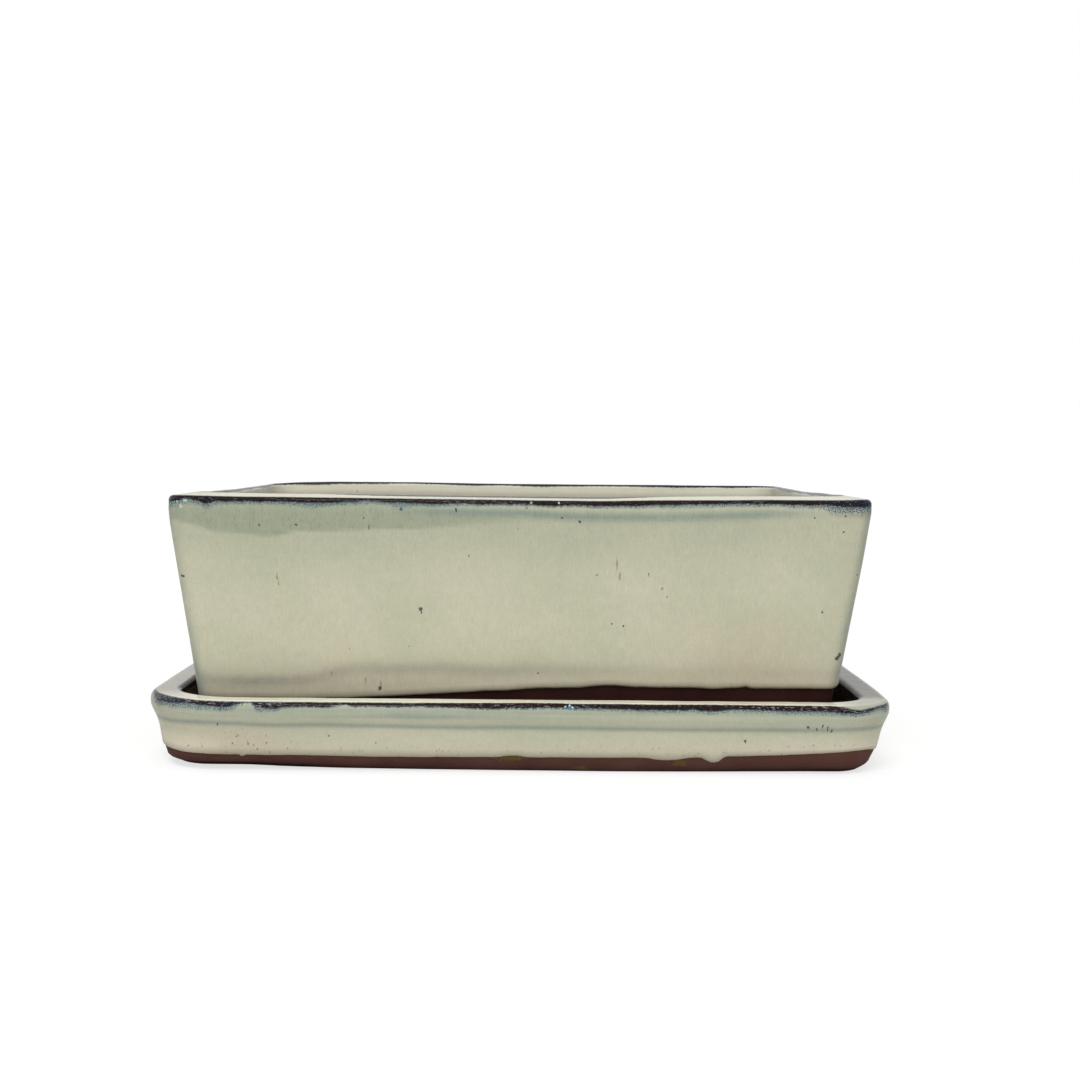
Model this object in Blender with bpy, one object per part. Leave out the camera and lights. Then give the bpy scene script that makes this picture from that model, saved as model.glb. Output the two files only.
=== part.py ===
# Rectangular glazed stoneware bonsai pot standing in its matching glazed drip tray.
# The pot is a fired clay body with two drain holes, a glaze coat over its rim and four corner
# feet luted on beneath it. The tray is a second clay body with its own glaze coat.
# Metres, +Z up. The origin is on the table, under the middle of the tray, and the long front
# faces -Y. The pot lifts straight up out of the tray.

import math

import bmesh
import bpy
from mathutils import Vector

# Glaze
GLAZE = 0.0008               # thickness of the fired glaze
SEAM = 0.0003                # gap kept between the glaze and the clay, and where pieces stand on others

# Pot, outside sizes over the glaze
POT_LENGTH = 0.254
POT_DEPTH = 0.200
POT_HEIGHT = 0.0915          # from the underside of the feet to the rim's inner edge
POT_WALL_INSET = 0.0099      # how far the foot of the wall lies inside the rim
POT_RIM_BAND = 0.006         # upright band under the rim, above the leaning wall
POT_CORNER_RADIUS = 0.0045   # in plan, outside
POT_INNER_CORNER_RADIUS = 0.005
POT_WALL = 0.0071            # clay alone
POT_FLOOR = 0.009
POT_RIM_FALL = 0.0011        # the rim's top slopes down to the outside by this much
POT_RIM_ROUND = 0.0014
POT_BASE_ROUND = 0.0016
POT_FLOOR_FILLET = 0.008
DRAIN_HOLE_DIAMETER = 0.020
DRAIN_HOLE_SPACING = 0.112

# Where the pot's glaze ends
POT_GLAZE_LINE = 0.0190      # outside, above the underside of the feet
POT_GLAZE_LINE_RISE = 0.0026  # the line climbs by this much to each end, down left, up right
POT_GLAZE_RIPPLE = 0.0006
POT_GLAZE_RIPPLE_LENGTH = 0.078
POT_GLAZE_INSIDE = 0.028     # depth of the glazed band inside the rim

# Feet
FOOT_HEIGHT = 0.0095
FOOT_LENGTH = 0.042          # the leg along the long wall
FOOT_RETURN = 0.032          # the leg along the short wall
FOOT_WIDTH = 0.013
FOOT_REVEAL = 0.002          # from the wall's foot to the face of the foot
FOOT_CORNER = 0.004
FOOT_EDGE = 0.0012

# Tray, outside sizes over the glaze. Its opening clears the foot of the pot's wall all round.
TRAY_RIM = 0.0108            # width of the rim, over the glaze
TRAY_GAP_ENDS = 0.0061       # from the foot of the pot's wall to the inside of the rim
TRAY_GAP_SIDES = 0.0096      # the same at front and back, when the pot stands in the middle
TRAY_LENGTH = POT_LENGTH - 2 * POT_WALL_INSET + 2 * (TRAY_GAP_ENDS + TRAY_RIM)  # at its corners
TRAY_DEPTH = POT_DEPTH - 2 * POT_WALL_INSET + 2 * (TRAY_GAP_SIDES + TRAY_RIM)
TRAY_HEIGHT = 0.0263
TRAY_SIDE_BOW = 0.0027       # how far the middle of each short side swells out
TRAY_CORNER_RADIUS = 0.017
TRAY_INNER_CORNER_RADIUS = 0.009
TRAY_RIM_ROUND = 0.0027
TRAY_RIM_INNER_ROUND = 0.0014
TRAY_LIP_HEIGHT = 0.0056     # the band round the rim that stands proud of the wall
TRAY_LIP = 0.0024            # how far the band stands proud
TRAY_LIP_SLOPE = 0.0046      # height of the slope under the band
TRAY_BASE_INSET = 0.0125     # from the band's face to the edge of the flat base
TRAY_BASE_CURVE = 0.0135     # height of the curve between wall and base
TRAY_WALL_LEAN = 0.0006
TRAY_FLOOR = 0.006
TRAY_FLOOR_FILLET = 0.006
TRAY_INNER_LEAN = 0.0012

# Where the tray's glaze ends, above the table
TRAY_GLAZE_LINE = 0.0064
TRAY_GLAZE_CORNER_LIFT = 0.0022
TRAY_GLAZE_RIPPLE = 0.0003
TRAY_GLAZE_RIPPLE_LENGTH = 0.061

# The pot stands this far behind the middle of the tray
POT_SET_BACK = 0.0025

# Fineness of the faceted surfaces
CORNER_STEPS = 6
LONG_STEPS = 18
SHORT_STEPS = 12
ROUND_STEPS = 3
CURVE_STEPS = 6
HOLE_SIDES = 32

COAT = SEAM + GLAZE
TRAY_SEAT = TRAY_FLOOR + COAT + SEAM
POT_UNDERSIDE = FOOT_HEIGHT + SEAM


def clear_scene():
    for item in list(bpy.data.objects):
        bpy.data.objects.remove(item, do_unlink=True)


def plain_material(name, colour, roughness):
    material = bpy.data.materials.new(name)
    material.use_nodes = True
    shader = material.node_tree.nodes["Principled BSDF"]
    shader.inputs["Base Color"].default_value = (*colour, 1.0)
    shader.inputs["Roughness"].default_value = roughness
    shader.inputs["Metallic"].default_value = 0.0
    return material


def plan_stations():
    """Places round a rounded rectangle: each has the share of the way out to its arc's centre,
    along X and Y, and the angle from that centre. Straight sides slide the centre along."""
    corners = [(1, 1), (-1, 1), (-1, -1), (1, -1)]
    stations = []
    for quarter, corner in enumerate(corners):
        following = corners[(quarter + 1) % 4]
        start = quarter * math.pi / 2
        for step in range(CORNER_STEPS + 1):
            stations.append((*corner, start + math.pi / 2 * step / CORNER_STEPS))
        steps = LONG_STEPS if quarter % 2 == 0 else SHORT_STEPS
        for step in range(1, steps):
            share = step / steps
            along_x = corner[0] + (following[0] - corner[0]) * share
            along_y = corner[1] + (following[1] - corner[1]) * share
            stations.append((along_x, along_y, start + math.pi / 2))
    return stations


STATIONS = plan_stations()


def place(station, outline, bow, spot):
    """The point of a ring at one station. A spot is (inset from the outline, height, corner radius)."""
    share_x, share_y, angle = station
    inset, height, radius = spot
    x = share_x * (outline[0] - inset - radius) + radius * math.cos(angle)
    y = share_y * (outline[1] - inset - radius) + radius * math.sin(angle)
    x *= 1 + bow * (1 - (y / outline[1]) ** 2) / outline[0]
    return Vector((x, y, height))


def level_ring(outline, bow, spot):
    return [place(station, outline, bow, spot) for station in STATIONS]


def trimmed_ring(outline, bow, profile, line):
    """The ring where a profile's wall is cut off at the wandering height that line gives."""
    ring = []
    for station in STATIONS:
        near = place(station, outline, bow, profile[0])
        ring.append(place(station, outline, bow, spot_at(profile, line(near.x, near.y))))
    return ring


def spot_at(profile, height):
    """The first spot along a profile at this height."""
    for low, high in zip(profile, profile[1:]):
        if min(low[1], high[1]) <= height <= max(low[1], high[1]) and low[1] != high[1]:
            share = (height - low[1]) / (high[1] - low[1])
            return tuple(a + (b - a) * share for a, b in zip(low, high))
    raise ValueError("the profile doesn't reach this height")


def raised(profile, distance):
    """The profile moved off the clay by this distance, square to itself. It runs up the outside,
    over the rim and down the inside."""
    normals = []
    for a, b in zip(profile, profile[1:]):
        run = Vector((b[0] - a[0], b[1] - a[1])).normalized()
        normals.append(Vector((-run.y, run.x)))
    moved = []
    for index, (inset, height, radius) in enumerate(profile):
        before = normals[max(index - 1, 0)]
        after = normals[min(index, len(normals) - 1)]
        middle = (before + after).normalized()
        shift = middle * (distance / middle.dot(after))
        moved.append((inset + shift.x, height + shift.y, radius - shift.x))
    return moved


def arc(centre_inset, centre_height, size_inset, size_height, first, last, radius, steps):
    """Spots along part of an ellipse. Angles run from 180 degrees, outside, through 90, on top."""
    spots = []
    for step in range(steps + 1):
        angle = math.radians(first + (last - first) * step / steps)
        inset = centre_inset + size_inset * math.cos(angle)
        height = centre_height + size_height * math.sin(angle)
        spots.append((inset, height, radius))
    return spots


def shell(name, rings, material, parent, closed_round=False):
    """A solid lofted through rings. It is closed at both ends, or round from last ring to first."""
    mesh = bmesh.new()
    loops = [[mesh.verts.new(point) for point in ring] for ring in rings]
    pairs = list(zip(loops, loops[1:]))
    if closed_round:
        pairs.append((loops[-1], loops[0]))
    for lower, upper in pairs:
        for index, vert in enumerate(lower):
            mesh.faces.new((lower[index - 1], vert, upper[index], upper[index - 1]))
    if not closed_round:
        mesh.faces.new(loops[0])
        mesh.faces.new(loops[-1])
    return finished(name, mesh, material, parent)


def finished(name, mesh, material, parent):
    """The mesh as a named object, with its faces pointing out of the solid."""
    bmesh.ops.recalc_face_normals(mesh, faces=mesh.faces)
    if mesh.calc_volume(signed=True) < 0:
        bmesh.ops.reverse_faces(mesh, faces=mesh.faces)
    data = bpy.data.meshes.new(name)
    mesh.to_mesh(data)
    mesh.free()
    data.materials.append(material)
    data.shade_smooth()
    data.set_sharp_from_angle(angle=math.radians(35))
    item = bpy.data.objects.new(name, data)
    bpy.context.scene.collection.objects.link(item)
    item.parent = parent
    return item


def group_empty(name, location):
    """The empty that a group of pieces hangs on; the pot's lies on the line it lifts along."""
    empty = bpy.data.objects.new(name, None)
    empty.location = location
    bpy.context.scene.collection.objects.link(empty)
    return empty


# The clay profiles: up the outside, over the rim, down the inside to the floor

def pot_profile():
    rim_outer = POT_HEIGHT - COAT - POT_RIM_FALL
    shoulder = POT_HEIGHT - POT_RIM_BAND
    outside = POT_CORNER_RADIUS - COAT
    inside = POT_INNER_CORNER_RADIUS + COAT
    floor = POT_UNDERSIDE + POT_FLOOR
    lean = POT_WALL_INSET / (shoulder - POT_UNDERSIDE)
    floor_inset = POT_WALL + lean * (shoulder - floor)
    spots = arc(POT_WALL_INSET + POT_BASE_ROUND, POT_UNDERSIDE + POT_BASE_ROUND,
                POT_BASE_ROUND, POT_BASE_ROUND, 270, 180, outside, ROUND_STEPS)
    spots.append((0.0, shoulder, outside))
    spots += arc(POT_RIM_ROUND, rim_outer - POT_RIM_ROUND, POT_RIM_ROUND, POT_RIM_ROUND,
                 180, 90, outside, ROUND_STEPS)
    spots += arc(POT_WALL - POT_RIM_ROUND, rim_outer + POT_RIM_FALL - POT_RIM_ROUND,
                 POT_RIM_ROUND, POT_RIM_ROUND, 90, 0, inside, ROUND_STEPS)
    spots.append((POT_WALL, shoulder, inside))
    spots += arc(floor_inset + POT_FLOOR_FILLET, floor + POT_FLOOR_FILLET,
                 POT_FLOOR_FILLET, POT_FLOOR_FILLET, 180, 270, inside, CURVE_STEPS)
    return spots


def tray_profile():
    top = TRAY_HEIGHT - COAT
    lip_bottom = TRAY_HEIGHT - TRAY_LIP_HEIGHT
    outside = TRAY_CORNER_RADIUS - COAT
    inside = TRAY_INNER_CORNER_RADIUS + COAT
    wall = TRAY_RIM - 2 * COAT
    wall_foot = TRAY_LIP + TRAY_WALL_LEAN
    inner_foot = wall + TRAY_INNER_LEAN
    spots = arc(TRAY_BASE_INSET, TRAY_BASE_CURVE, TRAY_BASE_INSET - wall_foot, TRAY_BASE_CURVE,
                270, 180, outside, CURVE_STEPS)
    spots.append((TRAY_LIP, lip_bottom - TRAY_LIP_SLOPE, outside))
    spots.append((0.0, lip_bottom, outside))
    spots += arc(TRAY_RIM_ROUND, top - TRAY_RIM_ROUND, TRAY_RIM_ROUND, TRAY_RIM_ROUND,
                 180, 90, outside, ROUND_STEPS)
    spots += arc(wall - TRAY_RIM_INNER_ROUND, top - TRAY_RIM_INNER_ROUND,
                 TRAY_RIM_INNER_ROUND, TRAY_RIM_INNER_ROUND, 90, 0, inside, ROUND_STEPS)
    spots += arc(inner_foot + TRAY_FLOOR_FILLET, TRAY_FLOOR + TRAY_FLOOR_FILLET,
                 TRAY_FLOOR_FILLET, TRAY_FLOOR_FILLET, 180, 270, inside, CURVE_STEPS)
    return spots


# Where the glaze stops on the outside

def pot_glaze_line(x, y):
    climb = POT_GLAZE_LINE_RISE * math.sin(math.pi * x / POT_LENGTH)
    ripple = POT_GLAZE_RIPPLE * math.sin(2 * math.pi * (x + y) / POT_GLAZE_RIPPLE_LENGTH)
    return POT_GLAZE_LINE + climb + ripple


def pot_inner_glaze_line(x, y):
    ripple = POT_GLAZE_RIPPLE * math.cos(2 * math.pi * (x - y) / POT_GLAZE_RIPPLE_LENGTH)
    return POT_HEIGHT - POT_GLAZE_INSIDE + ripple


def tray_glaze_line(x, y):
    lift = TRAY_GLAZE_CORNER_LIFT * (2 * abs(x) / TRAY_LENGTH * 2 * abs(y) / TRAY_DEPTH) ** 4
    ripple = TRAY_GLAZE_RIPPLE * math.sin(2 * math.pi * (x + y) / TRAY_GLAZE_RIPPLE_LENGTH)
    return TRAY_GLAZE_LINE + lift + ripple


# The pieces

def make_pot_body(outline, parent, material):
    rings = [level_ring(outline, 0.0, spot) for spot in pot_profile()]
    body = shell("pot_body", rings, material, parent)
    for side in (-1, 1):
        cutter_mesh = bmesh.new()
        bmesh.ops.create_cone(cutter_mesh, cap_ends=True, segments=HOLE_SIDES,
                              radius1=DRAIN_HOLE_DIAMETER / 2, radius2=DRAIN_HOLE_DIAMETER / 2,
                              depth=3 * POT_FLOOR)
        cutter = finished("drain_hole_cutter", cutter_mesh, material, parent)
        cutter.location = (side * DRAIN_HOLE_SPACING / 2, 0, POT_UNDERSIDE + POT_FLOOR / 2)
        cutter.hide_render = True
        cutter.display_type = "WIRE"
        drill = body.modifiers.new("drain_hole", "BOOLEAN")
        drill.operation = "DIFFERENCE"
        drill.solver = "EXACT"
        drill.object = cutter
    return body


def make_pot_glaze(outline, parent, material):
    """A coat over the outside wall and the rim and part way down the inside."""
    clay = pot_profile()
    rings = []
    for distance in (SEAM, COAT):
        coat = raised(clay, distance)
        rim = [spot for spot in coat if spot[1] > POT_HEIGHT - POT_RIM_BAND - COAT]
        face = [trimmed_ring(outline, 0.0, coat, pot_glaze_line)]
        face += [level_ring(outline, 0.0, spot) for spot in rim]
        face.append(trimmed_ring(outline, 0.0, coat[::-1], pot_inner_glaze_line))
        rings += face if distance == SEAM else face[::-1]
    return shell("pot_glaze", rings, material, parent, closed_round=True)


def make_foot(name, side_x, side_y, outline, parent, material):
    """A bracket foot: two legs that meet under the pot's corner, luted to the underside."""
    corner_x = outline[0] - POT_WALL_INSET - FOOT_REVEAL
    corner_y = outline[1] - POT_WALL_INSET - FOOT_REVEAL
    plan = [
        (0, 0), (FOOT_LENGTH, 0), (FOOT_LENGTH, FOOT_WIDTH),
        (FOOT_WIDTH, FOOT_WIDTH), (FOOT_WIDTH, FOOT_RETURN), (0, FOOT_RETURN),
    ]
    mesh = bmesh.new()
    verts = [mesh.verts.new((side_x * (corner_x - x), side_y * (corner_y - y), 0)) for x, y in plan]
    face = mesh.faces.new(verts)
    grown = bmesh.ops.extrude_face_region(mesh, geom=[face])
    top = [item for item in grown["geom"] if isinstance(item, bmesh.types.BMVert)]
    bmesh.ops.translate(mesh, verts=top, vec=(0, 0, FOOT_HEIGHT))
    outer = Vector((side_x * corner_x, side_y * corner_y))
    corner_edge = [
        edge for edge in mesh.edges
        if all((vert.co.xy - outer).length < SEAM for vert in edge.verts)
    ]
    bmesh.ops.bevel(mesh, geom=corner_edge, offset=FOOT_CORNER, segments=4, profile=0.5,
                    affect="EDGES", material=-1)
    foot = finished(name, mesh, material, parent)
    soften = foot.modifiers.new("soft_edges", "BEVEL")
    soften.width = FOOT_EDGE
    soften.segments = 2
    soften.limit_method = "ANGLE"
    soften.angle_limit = math.radians(40)
    return foot


def make_tray_body(outline, parent, material):
    rings = [level_ring(outline, TRAY_SIDE_BOW, spot) for spot in tray_profile()]
    return shell("tray_body", rings, material, parent)


def make_tray_glaze(outline, parent, material):
    """A coat over the outside wall, the rim, the inside wall and the whole floor."""
    clay = tray_profile()
    clear_of_line = TRAY_GLAZE_LINE + TRAY_GLAZE_CORNER_LIFT + 2 * TRAY_GLAZE_RIPPLE
    rings = []
    for distance in (SEAM, COAT):
        coat = raised(clay, distance)
        first = next(index for index, spot in enumerate(coat) if spot[1] > clear_of_line)
        face = [trimmed_ring(outline, TRAY_SIDE_BOW, coat, tray_glaze_line)]
        face += [level_ring(outline, TRAY_SIDE_BOW, spot) for spot in coat[first:]]
        rings += face[::-1] if distance == SEAM else face
    return shell("tray_glaze", rings, material, parent)


def build():
    clear_scene()
    tray = group_empty("tray_group", (0, 0, 0))
    pot = group_empty("pot_group", (0, POT_SET_BACK, TRAY_SEAT))
    pot_outline = (POT_LENGTH / 2 - COAT, POT_DEPTH / 2 - COAT)
    tray_outline = (TRAY_LENGTH / 2 - COAT, TRAY_DEPTH / 2 - COAT)
    red_clay = ((0.072, 0.030, 0.022), 0.85)     # colour and roughness
    cream_glaze = ((0.60, 0.58, 0.41), 0.15)
    make_pot_body(pot_outline, pot, plain_material("pot_clay", *red_clay))
    make_pot_glaze(pot_outline, pot, plain_material("pot_cream_glaze", *cream_glaze))
    for end, side_x in (("left", -1), ("right", 1)):
        for face, side_y in (("front", -1), ("back", 1)):
            name = f"pot_foot_{face}_{end}"
            foot_clay = plain_material(f"{name}_clay", *red_clay)
            make_foot(name, side_x, side_y, pot_outline, pot, foot_clay)
    make_tray_body(tray_outline, tray, plain_material("tray_clay", *red_clay))
    make_tray_glaze(tray_outline, tray, plain_material("tray_cream_glaze", *cream_glaze))


build()
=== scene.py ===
# Rectangular bonsai pot standing in its drip tray: two pieces of iron-red stoneware under a cream
# glaze that breaks brown and blue on its edges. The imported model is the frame, in metres.

import functools
import math

import bmesh
import bpy
from mathutils import Matrix, Vector, noise


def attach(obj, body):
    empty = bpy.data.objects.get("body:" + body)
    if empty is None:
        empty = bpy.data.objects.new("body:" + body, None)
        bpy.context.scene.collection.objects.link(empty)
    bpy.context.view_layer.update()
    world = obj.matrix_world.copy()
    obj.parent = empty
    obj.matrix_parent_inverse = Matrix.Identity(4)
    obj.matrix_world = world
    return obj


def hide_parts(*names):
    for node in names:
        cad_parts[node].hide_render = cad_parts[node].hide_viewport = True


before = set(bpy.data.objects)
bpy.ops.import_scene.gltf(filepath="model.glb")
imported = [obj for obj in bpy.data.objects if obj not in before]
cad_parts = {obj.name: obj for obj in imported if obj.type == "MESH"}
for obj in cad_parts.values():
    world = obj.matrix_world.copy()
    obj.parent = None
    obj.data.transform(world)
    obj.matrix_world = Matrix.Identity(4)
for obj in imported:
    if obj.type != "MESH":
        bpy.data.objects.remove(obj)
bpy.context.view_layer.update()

# The pot's clay body
# Coarse iron-red stoneware, pressed in a mould and fired once with its glaze on. The walls lean
# in to the foot, and two drain holes are cut through the floor while the clay is soft.

MM = 0.001
COAT = 1.1 * MM                       # from the clay out to the face of the glaze
POT_HALF = (127.0 * MM - COAT, 100.0 * MM - COAT)
POT_CENTRE_Y = 2.5 * MM
POT_UNDERSIDE = 17.2 * MM
POT_SHOULDER = 92.9 * MM              # the lean of the wall ends here
POT_RIM_OUTER = 97.8 * MM - COAT      # the clay rim's top, at its outer and inner edges
POT_RIM_INNER = 98.9 * MM - COAT
POT_FOOT_INSET = 9.9 * MM
POT_WALL = 7.1 * MM
POT_INSIDE_FLOOR = 26.2 * MM
POT_RIM_ROUND = 0.5 * MM
POT_BASE_ROUND = 1.6 * MM
POT_FILLET = 8.0 * MM
POT_CORNER = 4.5 * MM - COAT          # plan radius outside, and inside
POT_INNER_CORNER = 7.0 * MM + COAT
POT_CORNER_UNLIKE = (5.0 * MM, 3.5 * MM)     # the back left and back right corners are softer by these
POT_LEAN = POT_FOOT_INSET / (POT_SHOULDER - POT_UNDERSIDE)
DRAIN_HOLES_X = 56.0 * MM
DRAIN_HOLE_RADIUS = 10.0 * MM
POT_DRAWN_IN = 0.45 * MM              # how far the firing drew the left end in at the rim
POT_FLARE = 0.42 * MM                 # and how far at most it let the right end out
POT_FLARE_FROM = 56 * MM
# How far the firing has moved the rim up, in mm: by x along the front and the back, by y along the ends
RIM_FRONT = {-127: 0.7, -100: 0.4, -79: 0.3, -46: 0.2, -14: 0.0, 29: -0.1, 50: 0.35, 72: 0.6, 94: 0.85,
             115: 1.0, 127: 1.3}
RIM_LEFT = {-98: 0.7, -85: 0.42, -76: 0.15, -54: -0.45, -30: -0.8, -16: -1.1, -4: -1.3, 22: -1.5, 51: -1.7,
            82: -1.85, 103: -1.75}
RIM_RIGHT = {-98: 1.3, -76: 1.35, -54: 0.9, -29: 0.69, -3: 0.21, 11: -0.05, 57: -0.04, 103: 0.0}
RIM_BACK = {-127: -1.75, -118: -0.7, -103: -0.12, -89: 0.2, -45: 0.3, -20: -0.1, 127: 0.0}


def ease(value, start, end):
    """0 before start and 1 past end, with a soft rise between them."""
    share = min(max((value - start) / (end - start), 0.0), 1.0)
    return share * share * (3 - 2 * share)


def bell(value, middle, width):
    """A soft bump: 1 at its middle, and about a third at this width from it."""
    return math.exp(-((value - middle) / width) ** 2)


def read_off(points, place):
    """The value at a place on a slightly softened line through {place: value} points."""
    spots = list(points.items())
    for (start, low), (end, high) in zip(spots, spots[1:]):
        if place <= end:
            straight = max(0.0, (place - start) / (end - start))
            return low + (high - low) * (straight + ease(place, start, end)) / 2
    return spots[-1][1]


def arc(centre, size, first, last, corner, steps):
    """Spots of a profile along part of an ellipse. A spot is (inset, height, plan radius)."""
    spots = []
    for step in range(steps + 1):
        angle = math.radians(first + (last - first) * step / steps)
        across = centre[0] + size[0] * math.cos(angle)
        spots.append((across, centre[1] + size[1] * math.sin(angle), corner))
    return spots


def resampled(profile, spacing, rounds):
    """The profile with spots about a spacing apart, its kinks softened by a few averagings."""
    spots = [profile[0]]
    for start, end in zip(profile, profile[1:]):
        run = math.hypot(end[0] - start[0], end[1] - start[1])
        steps = max(1, round(run / spacing))
        for step in range(1, steps + 1):
            spots.append(tuple(a + (b - a) * step / steps for a, b in zip(start, end)))
    for _ in range(rounds):
        trios = zip(spots, spots[1:], spots[2:])
        middle = [tuple((a + 2 * b + c) / 4 for a, b, c in zip(*trio)) for trio in trios]
        spots = [spots[0]] + middle + [spots[-1]]
    return spots


def rounded_outline(half, corner, corner_steps, spacing):
    """A loop of bare edges round a rounded rectangle. Layers hold each point's share of the way
    out to the corners' centres, its direction out of the outline and its distance round the
    outline from the middle of the nearest corner."""
    mesh = bmesh.new()
    bmesh.ops.create_grid(mesh, x_segments=1, y_segments=1, size=1.0)
    bmesh.ops.scale(mesh, vec=(half[0], half[1], 1), verts=mesh.verts)
    bmesh.ops.bevel(mesh, geom=list(mesh.verts), offset=corner, segments=corner_steps,
                    profile=0.5, affect="VERTICES", material=-1)
    bmesh.ops.delete(mesh, geom=list(mesh.faces), context="FACES_ONLY")
    for edge in list(mesh.edges):
        cuts = round(edge.calc_length() / spacing) - 1
        if cuts > 0:
            bmesh.ops.subdivide_edges(mesh, edges=[edge], cuts=cuts)
    core = (half[0] - corner, half[1] - corner)
    for name in ("plan_x", "plan_y", "share_x", "share_y", "out_x", "out_y", "from_corner"):
        mesh.verts.layers.float.new(name)
    layer = mesh.verts.layers.float
    for vert in mesh.verts:
        vert[layer["plan_x"]], vert[layer["plan_y"]] = vert.co.xy
        near = Vector([max(-c, min(c, v)) for c, v in zip(core, vert.co)])
        out = (vert.co.xy - near).normalized()
        vert[layer["share_x"]] = near.x / core[0]
        vert[layer["share_y"]] = near.y / core[1]
        vert[layer["out_x"]] = out.x
        vert[layer["out_y"]] = out.y
        turn = abs(math.atan2(abs(out.y), abs(out.x)) - math.pi / 4)
        slide = core[0] - abs(near.x) + core[1] - abs(near.y)
        vert[layer["from_corner"]] = (turn * corner + slide) / MM
    return mesh


def loft(mesh, half, rows, spot_of, corner_of=None):
    """Extrudes the loop of edges from row to row. spot_of gives a row's spot for one point of
    the outline, and corner_of adds to the plan radius there. Returns the last loop."""
    layer = mesh.verts.layers.float
    keys = [layer[name] for name in ("share_x", "share_y", "out_x", "out_y")]
    edges = list(mesh.edges)
    verts = list(mesh.verts)
    for index, row in enumerate(rows):
        if index:
            grown = bmesh.ops.extrude_edge_only(mesh, edges=edges)["geom"]
            verts = [item for item in grown if isinstance(item, bmesh.types.BMVert)]
            edges = [item for item in grown if isinstance(item, bmesh.types.BMEdge) and item.is_boundary]
        for vert in verts:
            share_x, share_y, out_x, out_y = (vert[key] for key in keys)
            inset, height, corner = spot_of(row, vert)
            if corner_of:
                corner += corner_of(share_x, share_y, height)
            vert.co.x = share_x * (half[0] - inset - corner) + corner * out_x
            vert.co.y = share_y * (half[1] - inset - corner) + corner * out_y
            vert.co.z = height
    return edges


def plain_spot(row, _):
    """The same spot all round."""
    return row


def pot_corner_of(share_x, share_y, height):
    """What the plan radius gains towards the pot's softer back corners."""
    back = max(0.0, share_y)
    left, right = POT_CORNER_UNLIKE
    return back * (left * max(0.0, -share_x) + right * max(0.0, share_x))


def rim_lift(point):
    """How far the firing moved the rim up near a point, from the four sides' lines."""
    x, y = point.x / MM, (point.y + POT_CENTRE_Y) / MM
    right = min(max(point.x / POT_HALF[0] / 2 + 0.5, 0.0), 1.0)
    back = min(max(point.y / POT_HALF[1] / 2 + 0.5, 0.0), 1.0)
    sides = (1 - back) * read_off(RIM_FRONT, x) + back * read_off(RIM_BACK, x)
    sides += (1 - right) * read_off(RIM_LEFT, y) + right * read_off(RIM_RIGHT, y)
    corners = (1 - back) * ((1 - right) * RIM_FRONT[-127] + right * RIM_FRONT[127])
    corners += back * ((1 - right) * RIM_BACK[-127] + right * RIM_BACK[127])
    return (sides - corners) * MM


def settle_pot(point):
    """Moves a point of the pot as the firing did: the rim warps, the left end draws in at the
    top and the right end flares a little."""
    left = ease(-point.x / POT_HALF[0], 0.85, 1)
    right = ease(point.x / POT_HALF[0], 0, 1)
    upper = ease(point.z, POT_SHOULDER - 40 * MM, POT_RIM_INNER)
    drawn = POT_DRAWN_IN * left * ease(point.z, POT_SHOULDER - 6 * MM, POT_SHOULDER + 2 * MM)
    flare = right * min((point.z - POT_FLARE_FROM) / 50, POT_FLARE)
    return Vector((point.x + drawn + flare, point.y + POT_CENTRE_Y, point.z + upper * rim_lift(point)))


def object_from(mesh, name, material):
    """A mesh as an object in the scene, with its faces pointing outwards."""
    bmesh.ops.recalc_face_normals(mesh, faces=mesh.faces)
    if mesh.calc_volume(signed=True) < 0:
        bmesh.ops.reverse_faces(mesh, faces=mesh.faces)
    data = bpy.data.meshes.new(name)
    mesh.to_mesh(data)
    mesh.free()
    data.materials.append(material)
    data.shade_smooth()
    item = bpy.data.objects.new(name, data)
    bpy.context.scene.collection.objects.link(item)
    return item


def colour(sheet_hex):
    """An sRGB hex colour as linear RGBA."""
    channels = [int(sheet_hex[i:i + 2], 16) / 255 for i in (1, 3, 5)]
    return (*[c / 12.92 if c <= 0.04045 else ((c + 0.055) / 1.055) ** 2.4 for c in channels], 1.0)


def add_node(tree, kind, inputs=(), output=0, **settings):
    """Adds a shader node and returns one of its outputs. A second word in its kind says what it
    does. Inputs are a dict, or a tuple in order, each a value, a hex colour or another output."""
    kind, _, choice = kind.partition(" ")
    node = tree.nodes.new("ShaderNode" + kind)
    if choice:
        settings["data_type" if kind == "Mix" else "operation"] = choice
    for key, value in settings.items():
        setattr(node, key, value)
    for key, value in (inputs.items() if isinstance(inputs, dict) else enumerate(inputs)):
        if isinstance(value, bpy.types.NodeSocket):
            tree.links.new(value, node.inputs[key])
        else:
            node.inputs[key].default_value = colour(value) if isinstance(value, str) else value
    return node.outputs[output] if node.outputs else None


def new_material(name):
    """An empty material, and add_node for its own node tree."""
    material = bpy.data.materials.new(name)
    material.use_nodes = True
    material.node_tree.nodes.clear()
    return material, functools.partial(add_node, material.node_tree)


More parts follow.
